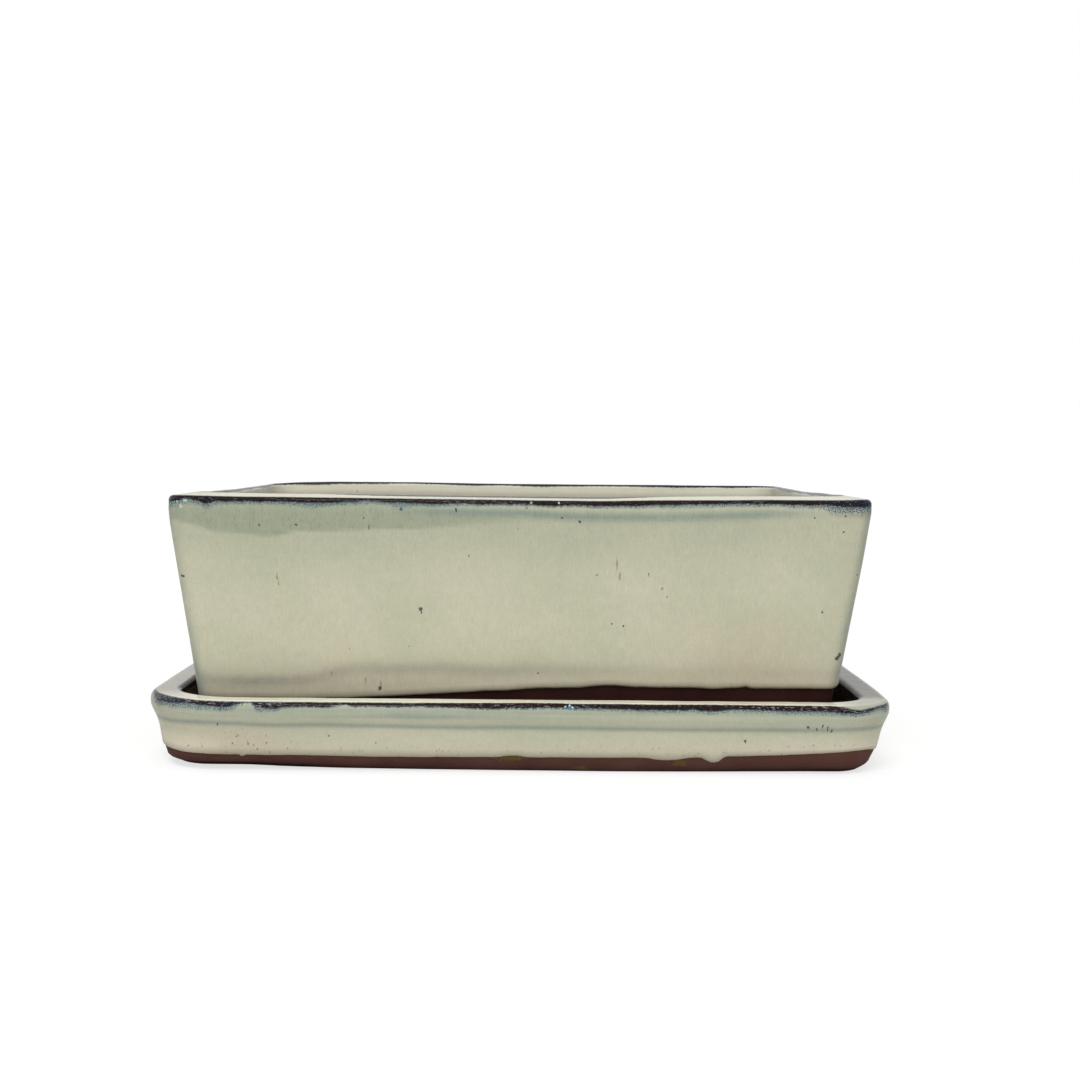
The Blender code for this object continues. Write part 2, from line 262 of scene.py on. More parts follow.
def bare_stoneware(name, dark, light, stains=()):
    """Unglazed iron-red stoneware, fired to a matt dark brown-red. Its fine grog makes it faintly
    speckled and gritty, and spilt glaze has left olive stains (x, y, z, across, up) on it."""
    material, add = new_material(name)
    seen = add("TexCoord", output="Object")
    place = add("VectorMath SCALE", {0: seen, "Scale": 1 / MM})
    patterns = {}
    for kind, size, detail in (("grog", 0.7, 3.0), ("cloud", 18.0, 4.0), ("smear", 1.6, 3.0)):
        patterns[kind] = add("TexNoise", {"Vector": place, "Scale": 1 / size, "Detail": detail}, "Fac")
    spread = add("MapRange", (patterns["cloud"], 0.35, 0.65))
    shade = add("Mix RGBA", {0: spread, 6: dark, 7: light}, 2)
    for x, y, z, across, up in stains:
        away = add("VectorMath MULTIPLY_ADD",
                   (place, (1 / across, 1 / across, 1 / up), (-x / across, -y / across, -z / up)))
        reach = add("VectorMath LENGTH", (away,), "Value")
        ragged = add("Math MULTIPLY_ADD", (patterns["smear"], 2.6, reach))
        stain = add("MapRange", (ragged, 2.4, 2.1, 0, 0.9))
        shade = add("Mix RGBA", {0: stain, 6: shade, 7: "#67562f"}, 2)
    grains = add("MapRange", (patterns["grog"], 0.68, 0.78, 0, 0.6))
    shade = add("Mix RGBA", {0: grains, 6: shade, 7: "#6d4c42"}, 2)
    bump = add("Bump", {"Height": patterns["grog"], "Strength": 0.6, "Distance": 0.12 * MM})
    shader = add("BsdfPrincipled", {"Base Color": shade, "Roughness": 0.7, "Specular IOR Level": 0.12,
                                    "Normal": bump})
    add("OutputMaterial", {"Surface": shader})
    return material


# The pot's clay is written darker than the tray's same clay: painted shade for the shaded strip low on the
# pot
stoneware = bare_stoneware("pot's bare stoneware darkened by painted shade", "#2b1614", "#371e1a")


def pot_clay_profile():
    """Up the outside from the underside, over the rim and down the inside to the floor."""
    floor_inset = POT_WALL + POT_LEAN * (POT_SHOULDER - POT_INSIDE_FLOOR)
    spots = arc((POT_FOOT_INSET + POT_BASE_ROUND, POT_UNDERSIDE + POT_BASE_ROUND),
                (POT_BASE_ROUND, POT_BASE_ROUND), 270, 180, POT_CORNER, 5)
    spots.append((0.0, POT_SHOULDER, POT_CORNER))
    spots += arc((POT_RIM_ROUND, POT_RIM_OUTER - POT_RIM_ROUND), (POT_RIM_ROUND, POT_RIM_ROUND),
                 180, 90, POT_CORNER, 6)
    spots += arc((POT_WALL - POT_RIM_ROUND, POT_RIM_INNER - POT_RIM_ROUND),
                 (POT_RIM_ROUND, POT_RIM_ROUND), 90, 0, POT_INNER_CORNER, 6)
    spots.append((POT_WALL, POT_SHOULDER, POT_INNER_CORNER))
    spots += arc((floor_inset + POT_FILLET, POT_INSIDE_FLOOR + POT_FILLET),
                 (POT_FILLET, POT_FILLET), 180, 270, POT_INNER_CORNER, 8)
    return spots


def close_ends(mesh, first_loop, last_loop):
    """Fills the loops that a loft starts and ends with."""
    bmesh.ops.edgeloop_fill(mesh, edges=first_loop)
    bmesh.ops.edgeloop_fill(mesh, edges=last_loop)


def pot_clay():
    mesh = rounded_outline(POT_HALF, POT_CORNER, 8, 4 * MM)
    first_loop = list(mesh.edges)
    rows = resampled(pot_clay_profile(), 3 * MM, 0)
    close_ends(mesh, first_loop, loft(mesh, POT_HALF, rows, plain_spot, pot_corner_of))
    for vert in mesh.verts:
        vert.co = settle_pot(vert.co)
    body = object_from(mesh, "pot_clay", stoneware)
    drills = bmesh.new()
    for side in (-1, 1):
        middle = Vector((side * DRAIN_HOLES_X, POT_CENTRE_Y, POT_INSIDE_FLOOR - 5 * MM))
        bmesh.ops.create_cone(drills, cap_ends=True, segments=64, radius1=DRAIN_HOLE_RADIUS,
                              radius2=DRAIN_HOLE_RADIUS, depth=30 * MM,
                              matrix=Matrix.Translation(middle))
    drill = object_from(drills, "drill", stoneware)
    cut = body.modifiers.new("drain_holes", "BOOLEAN")
    cut.operation = "DIFFERENCE"
    cut.solver = "EXACT"
    cut.object = drill
    bpy.context.view_layer.update()
    drilled = body.evaluated_get(bpy.context.evaluated_depsgraph_get())
    body.data = bpy.data.meshes.new_from_object(drilled)
    body.modifiers.clear()
    bpy.data.objects.remove(drill)
    body.data.set_sharp_from_angle(angle=math.radians(40))
    return body


pot_body = pot_clay()
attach(pot_body, "pot")
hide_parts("pot_body")

# The pot's glaze
# One thick coat of cream glaze, dipped over the wall and the rim and part way down the inside.
# It runs in the fire, so it thins to brown and blue on the arrises and ends in a rolled edge.

BACK = 0.15 * MM                      # the hidden back of a coat lies this far off the clay
ROLL = 1.3 * MM                       # height of the rolled edge of a coat
SWELL = 0.09 * MM                     # how much the face of a coat swells and sinks
POT_GLAZE_LINE = 26.6 * MM
POT_GLAZE_INSIDE = 70.9 * MM
POT_RUNS = (                          # (x, width, drop) along the front's lower edge, in mm
    (33.0, 14.0, -0.7), (82.5, 2.2, -0.8), (10.0, 8.0, -0.3), (72.0, 9.0, 0.25),
)


class Path:
    """A profile of the clay as a path. It gives the spot at any distance along it and off it."""

    def __init__(self, profile, spacing):
        self.spots = resampled(profile, spacing, 2)
        self.marks = [0.0]
        for a, b in zip(self.spots, self.spots[1:]):
            self.marks.append(self.marks[-1] + math.hypot(b[0] - a[0], b[1] - a[1]))
        self.offs = []
        for index in range(len(self.spots)):
            before = self.spots[max(index - 1, 0)]
            after = self.spots[min(index + 1, len(self.spots) - 1)]
            run = Vector((after[0] - before[0], after[1] - before[1])).normalized()
            self.offs.append((-run.y, run.x))
        self.spacing = self.marks[-1] / (len(self.marks) - 1)
        faces = [self.at(mark, COAT) for mark in self.marks]
        self.face_marks = [0.0]
        for a, b in zip(faces, faces[1:]):
            self.face_marks.append(self.face_marks[-1] + math.hypot(b[0] - a[0], b[1] - a[1]))

    def where(self, along):
        """The step of the path that holds this distance, and the share of it that is behind."""
        index = min(max(int(along / self.spacing), 0), len(self.marks) - 2)
        while index > 0 and self.marks[index] > along:
            index -= 1
        while index < len(self.marks) - 2 and self.marks[index + 1] < along:
            index += 1
        return index, (along - self.marks[index]) / (self.marks[index + 1] - self.marks[index])

    def at(self, along, off):
        """The spot this far along the clay and off it."""
        index, share = self.where(along)
        low, high = self.spots[index], self.spots[index + 1]
        inset, height, corner = (a + (b - a) * share for a, b in zip(low, high))
        side, up = (a + (b - a) * share for a, b in zip(self.offs[index], self.offs[index + 1]))
        return inset + side * off, height + up * off, corner - side * off

    def face(self, along):
        """How far along the face of the glaze this distance along the clay is."""
        index, share = self.where(along)
        return self.face_marks[index] + (self.face_marks[index + 1] - self.face_marks[index]) * share

    def along(self, height, inside=False):
        """How far along the path this height is crossed, going up outside or down inside."""
        pairs = list(zip(self.spots, self.spots[1:], self.marks, self.marks[1:]))
        for low, high, start, end in (pairs[::-1] if inside else pairs):
            if min(low[1], high[1]) <= height <= max(low[1], high[1]) and low[1] != high[1]:
                return start + (end - start) * (height - low[1]) / (high[1] - low[1])


def rows_between(start, end, fine_spots, fine, coarse):
    """Distances along a path from start to end, fine near the places that need it."""
    rows = [start]
    while rows[-1] < end:
        gap = min(abs(rows[-1] - spot) for spot in fine_spots)
        rows.append(rows[-1] + min(coarse, max(fine, 0.35 * (gap - 2 * MM))))
    rows[-1] = end
    return rows


def rolled_rows(line, direction):
    """The rolled edge of a coat, from its tip on the clay up on to its face."""
    rows = []
    for step in range(6):
        angle = math.radians(90 - 15 * step)
        off = BACK + (COAT - BACK) * math.cos(angle)
        rows.append((line + direction * ROLL * (1 - math.sin(angle)), off))
    return rows


def wander(plan, size, seed):
    """Slow random wandering round an outline, about -1 to 1."""
    return noise.noise(Vector((plan.x, plan.y, 0)) / size + Vector((0, 0, seed)))


def runs_at(runs, x, power):
    """How far the runs and bumps of a coat's edge pull it down at x."""
    return sum(drop * math.exp(-abs((x - centre) / width * 2) ** power) for centre, width, drop in runs)


def pot_line(plan, out, _):
    """The height of the glaze's lower edge round the pot: on the front it climbs to the right."""
    x = plan.x / MM * (1 - POT_FOOT_INSET / POT_HALF[0])
    front = max(0.0, -out.y) ** 2
    level = 26.4 + 0.9 * wander(plan, 60 * MM, 3)
    level += (5.5 * ease(x, 100, 124) - 3.0 * ease(-x, 60, 110)) * ease(-plan.y / MM, 40, 97)
    climb = 23.4 + 5.6 * ease(x, -90, 40) - runs_at(POT_RUNS, x, 2)
    ripple = 0.22 * wander(plan, 9 * MM, 1) + 0.1 * wander(plan, 3 * MM, 2)
    return (level + (climb - level) * front + ripple) * MM


# The glaze's colours, of which the green, pale, dull and olive tones are partly painted light and shade;
# then of its break the depth, the height, the fringe, the share of blue and half the width on the
# inner arris, which is widened in places as painted shade, lengths in mm
TONES = ("green", "blue", "warm", "pale", "dull", "olive", "thin", "lift", "fringe", "navy", "inner")


def coat_spot_of(mesh, path, line, line_of, outer_arris, reach, swells, bead, thinned=0.0):
    """Makes a coat's spot_of. Its rows follow the wandering lower edge within reach of it, its
    face swells at two sizes, a bead stands on the edge, and it can thin towards the foot. The
    coat gets its attributes: millimetres up over the rim from the outer arris, millimetres above
    the lower edge, and the tones."""
    for name in ("run", "above_edge") + TONES:
        mesh.verts.layers.float.new(name)
    layer = mesh.verts.layers.float
    start = path.along(line)

    def spot_of(row, vert):
        along, off = row
        plan, out, share = (Vector((vert[layer[kind + "_x"]], vert[layer[kind + "_y"]]))
                            for kind in ("plan", "out", "share"))
        moved = along + (line_of(plan, out, share) - line) * (1 - ease(along, start, start + reach))
        large, small = (noise.noise(Vector((plan.x, plan.y, along)) / size) for size in swells)
        if off > BACK:
            edge = bead * bell(along, start, 2.5 * MM)
            off += (SWELL * (large + 0.4 * small) + edge) * off / COAT
            low = 1 - ease(path.at(moved, 0)[1], 9 * MM, 16 * MM) if moved < outer_arris else 0.0
            off = BACK + (off - BACK) * (1 - thinned / (COAT - BACK) * low)
        vert[layer["run"]] = (path.face(moved) - path.face(outer_arris)) / MM
        vert[layer["above_edge"]] = (along - start) / MM
        return path.at(moved, off)

    return spot_of


def paint(mesh, settle, tones_of):
    """Settles each point of a coat and stores the tones that tones_of gives for it."""
    layer = mesh.verts.layers.float
    for vert in mesh.verts:
        vert.co = settle(vert.co)
        out = Vector((vert[layer["out_x"]], vert[layer["out_y"]]))
        tones = tones_of(vert.co / MM, out, vert[layer["run"]], vert[layer["from_corner"]])
        for name in TONES:
            vert[layer[name]] = tones[name]


def breaking_glaze(name, marks, inner_run, dark_top, ticked, edge_shade, speckled, gloss_streaked):
    """A thick glossy stoneware glaze, cream where it is thick. On the arrises it has run thin
    and broken to iron brown and cobalt blue, with a fringe of blue specks below, and it is
    streaked from top to bottom and peppered with iron specks from the clay. Its rolled lower edge
    is darkened with painted shade, and painted glints and streaks of broken gloss light the break.
    The inner arris lies at inner_run, the break ends at dark_top, and the last four say how strong
    the ticks, the painted edge shade, the fine brown specks and the painted gloss streaks are."""
    material, add = new_material(name)
    seen = add("TexCoord", output="Object")
    place = add("VectorMath SCALE", {0: seen, "Scale": 1 / MM})
    tone = {}
    for layer in ("run", "above_edge") + TONES:
        tone[layer] = add("Attribute", output="Fac", attribute_name=layer)
    pattern = {}
    for kind, across, up, detail in (("streaks", 0.5, 7.0, 2.0), ("wide_streaks", 3.4, 22.0, 2.0),
                                     ("grain", 0.42, 0.42, 1.0), ("fray", 1.2, 1.2, 2.0),
                                     ("ripple", 8.0, 8.0, 2.0), ("mottle", 3.0, 3.0, 3.0),
                                     ("clouds", 34.0, 24.0, 2.0), ("ticks", 0.32, 2.6, 0.0),
                                     ("gloss_streak", 1 / 0.6, 1 / 3.5, 3.0)):
        scaled = add("VectorMath MULTIPLY", (place, (1 / across, 1 / across, 1 / up)))
        pattern[kind] = add("TexNoise", {"Vector": scaled, "Scale": 1.0, "Detail": detail}, "Fac")

    # The thick cream, its broad tones, some of them partly painted light and shade, and the streaks the run
    # left in them
    cloudy = add("MapRange", (pattern["clouds"], 0.35, 0.65))
    shade = add("Mix RGBA", {0: cloudy, 6: "#cac7af", 7: "#c1c2a9"}, 2)
    streaky = add("MapRange", (pattern["wide_streaks"], 0.3, 0.7, 0.94, 1.06))
    for layer, tint in (("green", "#8f9883"), ("warm", "#bcae98"), ("pale", "#f3efdc"),
                        ("dull", "#7f7d77"), ("olive", "#4c4638"), ("blue", "#7b8c88")):
        strength = add("Math MULTIPLY", (tone[layer], streaky), use_clamp=True)
        shade = add("Mix RGBA", {0: strength, 6: shade, 7: tint}, 2)
    # The streaks fade where the pale tone lies, which is partly thick glaze and partly painted light
    thick = add("MapRange", (tone["pale"], 0, 1, 1.0, 0.15))
    for kind, low, high in (("streaks", 0.955, 1.04), ("mottle", 0.965, 1.03), ("grain", 0.94, 1.05)):
        grey = add("MapRange", (pattern[kind], 0.25, 0.75, low, high))
        shade = add("Mix RGBA", {0: thick, 6: shade, 7: grey}, 2, blend_type="MULTIPLY")
    ticks = add("MapRange", (pattern["ticks"], 0.64, 0.8, 0, ticked))
    ticks = add("Math MULTIPLY", (ticks, tone["green"]))
    # Painted shade along the rolled lower edge of the coat, where it turns under
    rolled = add("MapRange", (tone["above_edge"], 0.2, 3.0, edge_shade, 0.0))
    layers = [(ticks, "#65736c"), (rolled, "#7d7664")]

    # Iron specks: sparse dark ones everywhere and fine brown ones where the glaze is warm
    warmth = add("MapRange", (tone["warm"], 0.2, 0.7, 0, speckled))
    taller = add("VectorMath MULTIPLY", (place, (1, 1, 0.5)))
    for cell, bar, size, tint, strength in ((3.6, 0.6, 0.85, "#4c4b45", 0.75),
                                            (1.1, 0.3, 0.62, "#83735c", warmth)):
        away = add("TexVoronoi", {"Vector": taller, "Scale": 1 / cell})
        chance = add("SeparateColor", {"Color": away.node.outputs["Color"]})
        radius = add("Math MULTIPLY_ADD", (chance, size, -bar * size))
        depth = add("Math MULTIPLY_ADD", (away, -cell, radius))
        speck = add("MapRange", (depth, 0, 0.2))
        layers.append((add("Math MULTIPLY", (speck, strength)), tint))

    # The break on the outer arris, and the fringe of specks below it
    wavy = add("Math MULTIPLY_ADD", (pattern["ripple"], 0.9, -0.9))
    ragged = add("Math MULTIPLY_ADD", (pattern["fray"], 0.9, wavy))
    below = add("Math SUBTRACT", (ragged, tone["run"]))
    past = add("Math SUBTRACT", (below, tone["thin"]))
    lower = add("MapRange", (past, -0.3, 0.25, 1.0, 0.0))
    over = add("Math SUBTRACT", (tone["run"], tone["lift"]))
    over = add("Math MULTIPLY_ADD", (pattern["fray"], 0.7, over))
    upper = add("MapRange", (over, dark_top - 0.2, dark_top + 0.5, 1.0, 0.0))
    there = add("MapRange", (tone["thin"], 0.3, 0.9))
    dark = add("Math MULTIPLY", (lower, upper))
    dark = add("Math MULTIPLY", (dark, there))
    share = add("Math DIVIDE", (past, tone["fringe"]))
    veil = add("MapRange", (share, 0, 1, 0.6, 0.0))
    sparse = add("Math MULTIPLY_ADD", (share, -0.22, pattern["grain"]))
    dots = add("MapRange", (sparse, 0.40, 0.47))
    fading = add("MapRange", (share, 0.6, 1.1, 0.9, 0.0))
    dots = add("Math MULTIPLY", (dots, fading))
    cobalt = add("Math ADD", (tone["navy"], pattern["fray"]))
    cobalt = add("MapRange", (cobalt, 0.8, 1.05))
    break_tint, dot_tint, glint = (
        add("Mix RGBA", {0: cobalt, 6: iron, 7: blue}, 2)
        for iron, blue in (("#1a0506", "#0c1120"), ("#4a636a", "#2a3b4d"), ("#877d7d", "#b9c4cc")))
    veil = add("Math MULTIPLY", (veil, upper))
    fringe = add("Math MULTIPLY", (dots, upper))

    # The thinner break on the inner arris
    off = add("Math SUBTRACT", (tone["run"], inner_run))
    off = add("Math ABSOLUTE", (off,))
    off = add("Math MULTIPLY_ADD", (pattern["fray"], 0.8, off))
    off = add("Math SUBTRACT", (off, tone["inner"]))
    line = add("MapRange", (off, -0.1, 0.5, 1.0, 0.0))

    # Painted highlights in the break: light glints where the glaze has burst, and short streaks of broken
    # gloss
    glint_noise = add("TexNoise", {"Vector": place, "Scale": 1 / 0.55, "Detail": 2.0, "Roughness": 0.7}, "Fac")
    bright = add("MapRange", (cobalt, 0, 1, 0.2, 0.75))
    painted_glints = add("MapRange", (glint_noise, 0.63, 0.7, 0, bright))
    broken = add("Math MAXIMUM", (dark, dots))
    broken = add("Math MULTIPLY", (broken, upper))
    painted_glints = add("Math MULTIPLY", (painted_glints, broken))
    painted_gloss_streaks = add("Math MULTIPLY_ADD", (pattern["clouds"], 0.35, pattern["gloss_streak"]))
    painted_gloss_streaks = add("MapRange", (painted_gloss_streaks, 0.77, 0.85, 0, gloss_streaked))
    painted_gloss_streaks = add("Math MULTIPLY", (painted_gloss_streaks, dark))
    layers += [(veil, "#6f858a"), (fringe, dot_tint), (dark, break_tint), (line, "#2d2b33"),
               (painted_glints, glint), (painted_gloss_streaks, "#a3a0a6")]

    # The marks of this one piece, with edges that wander a little
    shift = add("TexNoise", {"Vector": place, "Scale": 1 / 1.1, "Detail": 1.0}, "Color")
    shift = add("VectorMath SUBTRACT", (shift, (0.5, 0.5, 0.5)))
    loose = add("VectorMath ADD", (place, shift))
    for tint, spots in marks:
        cover = 0.0
        for x, y, z, across, up in spots:
            away = add("VectorMath MULTIPLY_ADD",
                       (loose, (1 / across, 1 / 2.5, 1 / up), (-x / across, -y / 2.5, -z / up)))
            reach = add("VectorMath LENGTH", (away,), "Value")
            mark = add("MapRange", (reach, 0.7, 1.1, 0.85, 0.0))
            cover = add("Math MAXIMUM", (mark, cover))
        layers.append((cover, tint))
    for cover, tint in layers:
        shade = add("Mix RGBA", {0: cover, 6: shade, 7: tint}, 2)

    # Glassy, with the soft unevenness of a glaze that has run
    rough = add("MapRange", (pattern["mottle"], 0.3, 0.7, 0.07, 0.16))
    height = add("Math MULTIPLY_ADD", (pattern["fray"], 0.3, pattern["mottle"]))
    bump = add("Bump", {"Height": height, "Strength": 0.8, "Distance": 0.12 * MM})
    shader = add("BsdfPrincipled", {"Base Color": shade, "Roughness": rough, "IOR": 1.5,
                                    "Specular IOR Level": 0.15, "Normal": bump})
    add("OutputMaterial", {"Surface": shader})
    return material


# Down the front's face: where the green under the rim ends, which is partly a painted reflection, where
# the blue streak runs, how deep the break and its fringe are, and how blue they are, each as {x: value} in mm
POT_GREEN = {-127: 8.5, -119: 9.7, -109: 12.8, -89: 14.1, -79: 12.2, -43: 11.2, 0: 8.0, 40: 7.6, 127: 7.0}
POT_STREAK = {-60: 3.8, -28: 4.2, 0: 4.3, 22: 5.6, 54: 6.1, 100: 4.5, 127: 3.8}
POT_THIN = {-127: 1.9, -121.5: 1.7, -120.5: 0.8, -116: 1.4, -114: 2.0, -112: 2.9, -110: 1.7, -102: 1.5,
            -92: 1.6, -86: 1.3, -76: 1.6, -67: 1.7, -60: 1.2, -55: 0.8, -48: 1.2, -32: 1.6, -24: 1.3,
            0: 1.3, 14: 1.6, 24: 1.3, 36: 1.7, 60: 1.3, 74: 1.1, 88: 1.2, 99: 1.3, 106: 1.7, 110: 1.4,
            113: 1.7, 118: 2.1, 127: 2.4}
POT_FRINGE = {-127: 3.0, -121: 2.6, -116: 2.0, -114: 2.2, -112: 3.2, -110.5: 2.2, -108: 1.5, -95: 1.4,
              -80: 1.8, -74: 2.8, -68: 1.7, -50: 1.4, -42: 2.8, -36: 1.4, 0: 1.0, 40: 1.3, 60: 1.8, 90: 1.4,
              108: 1.8, 112: 4.0, 118: 4.2, 127: 4.0}
POT_NAVY = {-127: 0.45, -119: 0.1, -114: 0.25, -111: 0.45, -107: 0.15, -95: 0.0, 30: 0.0, 45: 0.15, 64: 0.0,
            85: 0.1, 100: 0.15, 110: 0.5, 127: 0.6}


def on_pot_front(x, z, across, up):
    """A mark on the leaning front wall: its place and half its width and height, in mm."""
    y = POT_CENTRE_Y + POT_LEAN * (POT_SHOULDER - z * MM) - POT_HALF[1] - COAT
    return x, y / MM, z, across, up


POT_MARKS = [(tint, [on_pot_front(*mark) for mark in marks]) for tint, marks in (
    ("#a08a68", (
        (35.5, 74.8, 0.35, 2.4), (36.6, 70.4, 0.45, 1.6), (-87.3, 69.4, 0.25, 1.6), (-86.8, 66.8, 0.25, 1.2),
        (51.9, 65.9, 0.5, 0.7), (28.3, 70.8, 0.5, 0.5))),
    ("#2f3138", (
        (-35.5, 57.6, 0.75, 0.8), (-35.2, 56.4, 0.35, 0.7), (-121.7, 69.1, 0.9, 0.6),
        (117.5, 41.9, 0.7, 0.85), (117.0, 41.3, 0.6, 0.6), (116.6, 40.6, 0.75, 0.85), (-50.5, 28.0, 0.6, 0.9),
        (-93.4, 87.9, 0.4, 0.4), (-80.1, 88.0, 0.35, 0.5), (-53.9, 87.6, 0.25, 1.3), (-55.7, 90.8, 0.3, 0.6),
        (-22.7, 94.0, 0.4, 0.9), (2.8, 94.9, 0.4, 0.4), (15.4, 91.5, 0.45, 0.45), (21.9, 90.1, 0.5, 0.45),
        (106.3, 92.3, 0.25, 0.3), (117.4, 93.1, 0.4, 0.4), (116.8, 87.3, 0.4, 0.5), (34.1, 52.8, 0.5, 0.4),
        (38.1, 52.1, 0.35, 0.35), (7.3, 34.3, 0.35, 0.35), (47.1, 71.0, 0.2, 0.9), (122.7, 71.7, 0.3, 0.3))),
    ("#3b5566", ((110.5, 57.9, 0.5, 0.45), (-42.4, 94.2, 0.5, 0.8))),
    ("#98937f", ((-55.8, 30.7, 0.3, 1.7), (-68.1, 33.2, 0.5, 1.0), (-50.2, 29.8, 0.45, 1.3))),
)]
POT_MARKS += [                        # on the rim, as (x, y, z, across, up); the pale ones are painted glints
    ("#c9cec2", [(4.3, -99.0, 97.0, 0.8, 0.8), (14.4, -99.0, 97.0, 0.7, 0.8), (-121.4, -96.0, 94.6, 0.7, 1.0),
                 (-119.8, -97.0, 96.4, 0.8, 0.35), (-122.6, -96.0, 96.2, 0.5, 0.4)]),
    ("#2b2426", [(4.8, -99.0, 96.6, 0.4, 0.5)]),
]


def pot_tones(point, out, run, corner):
    """How strong each tone of the pot's glaze is at a point, and how its break lies there."""
    x, _, z = point
    front = max(0.0, -out.y) ** 2
    bare = 1 - front
    swirl = [wander(point, size, seed) for size, seed in ((45, 11), (22, 12), (12, 13), (30, 14))]
    depth = -run
    outside = 1 - ease(run, 0.5, 1.5)
    inside = ease(run, 9.5, 11.0)
    # The green under the rim is partly the glaze's own green and partly a painted reflection, darker where
    # the upright band mirrors less
    edge = front * read_off(POT_GREEN, x) + bare * (10.5 + 4 * swirl[0])
    blur = 0.9 + front * 3.2 * ease(x, -50, 30) + bare * 2.0
    green = (1 - ease(depth, edge - blur, edge + blur)) * (0.72 - 0.2 * ease(x, -60, 40) * front)
    green *= 1 - 0.45 * bell(depth, 2.6, 1.1) * ease(x, -60, -20)
    green = max(green, 0.3 * (1 - ease(depth, 6, 36)))
    streak = front * read_off(POT_STREAK, x) + bare * (4.5 + 2.5 * swirl[1])
    presence = front * ease(x, -52, -24) * (1 - ease(x, 82, 112)) + bare * max(0.0, 0.3 + swirl[3])
    arris = 0.36 + 0.3 * noise.noise(point / 16) + 0.15 * ease(-x, 60, 110) * (1 - ease(z, 30, 60))
    arris *= bell(corner, 0, 2.1) * (1 - 0.7 * ease(-x, 100, 120) * ease(z, 60, 80))
    blue = max(0.62 * presence * bell(depth, streak, 1.5), arris)
    # Warmer low on the wall: partly the glaze's pink, partly painted shade from the tray in front
    warm = 0.5 * (1 - ease(z, 26, 44)) + 0.42 * front * bell(x, 86, 24) * bell(z, 43, 12)
    warm += 0.15 * front * ease(x, 108, 119)
    # Greyer bands about 30 to 35 mm up; the grey at the foot of the wall and by the right-hand corners is
    # painted shade
    grey_band_height = 35.2 + 1.5 * swirl[1] - 4.6 * front * ease(-x, 55, 85)
    dull = 0.38 * bell(z, grey_band_height, 2.6) * (1 - 0.7 * front * ease(x, -20, 60))
    dull += 0.22 * front * bell(z, 30.5, 1.6) * bell(x, -94, 15)
    dull += 0.25 * (1 - ease(z, 24, 29)) + 0.25 * bell(corner, 0, 1.6) * ease(x, 0, 60)
    thin = front * read_off(POT_THIN, x) + bare * (1.3 + swirl[2] + 0.7 * bell(corner, 0, 5))
    fringe = bare * (1.5 + 2.5 * max(0.0, swirl[2]) + 1.5 * bell(corner, 0, 6))
    fringe += front * read_off(POT_FRINGE, x)
    navy = front * read_off(POT_NAVY, x) + bare * (0.3 + 0.6 * swirl[3] + 0.5 * bell(corner, 0, 6))
    # The dark line on the inner arris widens along the middle of the front, partly as painted shade
    middle = math.exp(-((x + 8) / 62) ** 6) * (1 - 0.75 * ease(run, 9.0, 10.0))
    return dict(green=green * outside, blue=blue * outside, warm=warm * outside + 0.1 * inside,
                # The pale tone over the rim top and the inside is partly painted light
                pale=0.42 * ease(run, 0.5, 1.5) + 0.27 * inside, dull=dull * outside,
                # The olive darkening down the inside wall towards the floor is painted shade
                olive=0.62 * ease(run, 10.8, 16.4), thin=max(thin, 0.1), lift=0.0,
                fringe=max(fringe, 0.4), navy=navy,
                inner=bare * (1.3 + 0.8 * swirl[1]) + front * (0.3 + 3.4 * middle))


def pot_glaze():
    path = Path(pot_clay_profile(), 0.25 * MM)
    start = path.along(POT_GLAZE_LINE)
    end = path.along(POT_GLAZE_INSIDE, inside=True)
    outer_arris = path.along(POT_RIM_OUTER - POT_RIM_ROUND) + math.pi / 4 * POT_RIM_ROUND
    inner_arris = path.along(POT_RIM_INNER - POT_RIM_ROUND, inside=True) - math.pi / 4 * POT_RIM_ROUND
    rows = rolled_rows(start, 1)
    rows += [(along, COAT) for along in rows_between(start + ROLL + 0.3 * MM, end - ROLL - 0.3 * MM,
                                                     (outer_arris, inner_arris), 0.3 * MM, 1.15 * MM)]
    rows += rolled_rows(end, -1)[::-1]
    hidden = rows_between(start, end, (outer_arris, inner_arris), 0.6 * MM, 6 * MM)[::-1]
    rows += [(along, BACK) for along in hidden]
    mesh = rounded_outline(POT_HALF, POT_CORNER, 12, 1.9 * MM)
    spot_of = coat_spot_of(mesh, path, POT_GLAZE_LINE, pot_line, outer_arris, reach=30 * MM,
                           swells=(24 * MM, 7 * MM), bead=0.25 * MM)
    loft(mesh, POT_HALF, rows, spot_of, pot_corner_of)
    bmesh.ops.remove_doubles(mesh, verts=mesh.verts, dist=0.002 * MM)
    paint(mesh, settle_pot, pot_tones)
    rim_run = (path.face(inner_arris) - path.face(outer_arris)) / MM
    glaze = breaking_glaze("cream glaze of the pot", POT_MARKS, inner_run=rim_run - 0.5, dark_top=1.0,
                           ticked=0.5, edge_shade=0.75, speckled=0.25, gloss_streaked=0.2)
    return object_from(mesh, "pot_glaze_coat", glaze)


pot_coat = pot_glaze()
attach(pot_coat, "pot")
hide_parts("pot_glaze")

# The pot's feet
# Four bracket feet of the same clay, luted on under the corners. Their solids are right as they
# are and only get their clay.

for foot in ("front_left", "front_right", "back_left", "back_right"):
    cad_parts[f"pot_foot_{foot}"].data.materials.clear()
    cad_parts[f"pot_foot_{foot}"].data.materials.append(stoneware)

# The tray's clay body
# Pressed from the same clay: a thick rim with a proud band, a rounded wall and a flat bare base.

